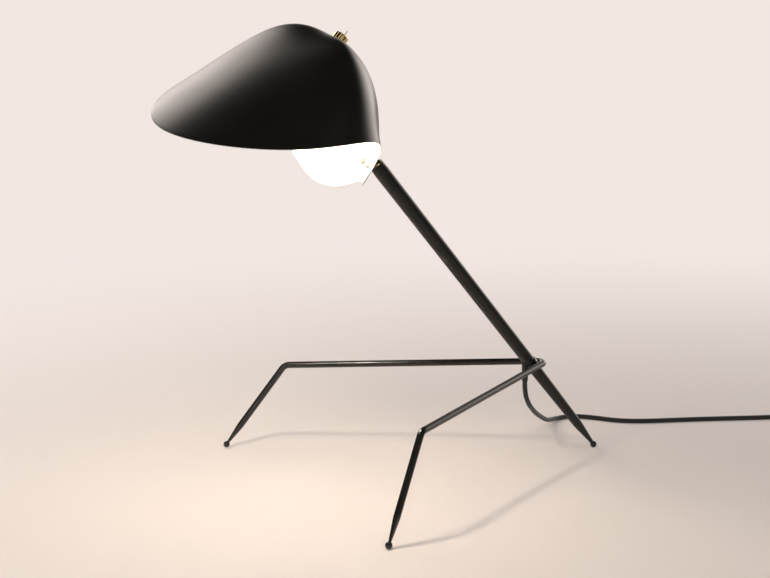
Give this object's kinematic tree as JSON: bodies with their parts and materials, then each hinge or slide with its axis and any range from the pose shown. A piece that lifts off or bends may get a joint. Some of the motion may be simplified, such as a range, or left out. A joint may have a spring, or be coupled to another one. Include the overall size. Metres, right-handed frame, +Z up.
{
  "type": "desk lamp",
  "caption": "Tripod desk lamp: slanted arm with bent rod legs, a sheet metal visor shade on a ball joint, a toggle switch on its crown, a screw bulb inside, and a cord with a plug.",
  "frame": {"origin": "on the floor, under the middle of the lamp without its cord", "axes": "+Z up, the shade and the two front legs towards -Y, the arm's foot and the cord towards +Y"},
  "size_m": [0.438, 1.1412, 0.5352],
  "materials": {
    "black_steel": "satin",
    "black_shade": "satin black outside, white inside",
    "brass": "polished",
    "white_enamel": "gloss",
    "bright_steel": "polished",
    "plain_steel": "plain",
    "bulb_metal": "plain",
    "holder_plastic": "gloss",
    "switch_plastic": "matt",
    "bulb_insulator": "gloss",
    "frosted_glass": "frosted",
    "clear_glass": "clear",
    "black_rubber": "matt",
    "black_cord": "matt",
    "white_lead": "matt"
  },
  "bodies": {
    "stand": {"leg_frame": "black_steel", "leg_feet": "black_steel", "arm_tube": "black_steel", "arm_tip": "black_steel", "arm_foot": "black_steel", "braze_collar": "black_steel", "cord_sleeve": "black_rubber", "arm_cable": "black_cord", "stop_ring": "brass", "power_cord": "black_cord", "cord_coil": "black_cord", "plug_lead": "black_cord", "plug_relief": "black_rubber", "plug_body": "black_cord", "plug_pins": "plain_steel"},
    "seat": {"seat_bush": "brass"},
    "ball": {"ball_stud": "brass", "stud_washer": "white_enamel", "stud_nut": "white_enamel"},
    "shade": {"shade_shell": "black_shade", "outer_wedge": "brass", "inner_wedge": "white_enamel", "switch_nut": "brass", "switch_bushing": "brass", "switch_washer": "brass", "switch_body": "switch_plastic", "switch_terminals": "plain_steel", "holder_cap": "holder_plastic", "holder_body": "holder_plastic", "screw_shell": "brass", "holder_contact": "brass", "bulb_contact": "bulb_metal", "bulb_insulator": "bulb_insulator", "bulb_cap": "bulb_metal", "bulb_glass": "frosted_glass", "bulb_stem": "clear_glass", "filament": "bulb_metal", "shade_lead": "white_lead"},
    "lever": {"switch_lever": "bright_steel"}
  },
  "joints": [
    {"name": "head_turn", "type": "hinge", "parent": "stand", "child": "seat", "pos_m": [0, -0.01163, 0.37278], "axis": [0, -0.6401, 0.7683], "range_deg": [-60, 60]},
    {"name": "head_tilt", "type": "hinge", "parent": "seat", "child": "ball", "pos_m": [0, -0.01163, 0.37278], "axis": [0.9495, 0.2018, -0.2402], "range_deg": [-45, 10]},
    {"name": "head_roll", "type": "hinge", "parent": "ball", "child": "shade", "pos_m": [0, -0.01163, 0.37278], "axis": [0.2703, -0.9148, 0.3], "range_deg": [-25, 25]},
    {"name": "switch_throw", "type": "hinge", "parent": "shade", "child": "lever", "pos_m": [0.05246, -0.08493, 0.51854], "axis": [0.9495, 0.2018, -0.2402], "range_deg": [0, 20]}
  ]
}
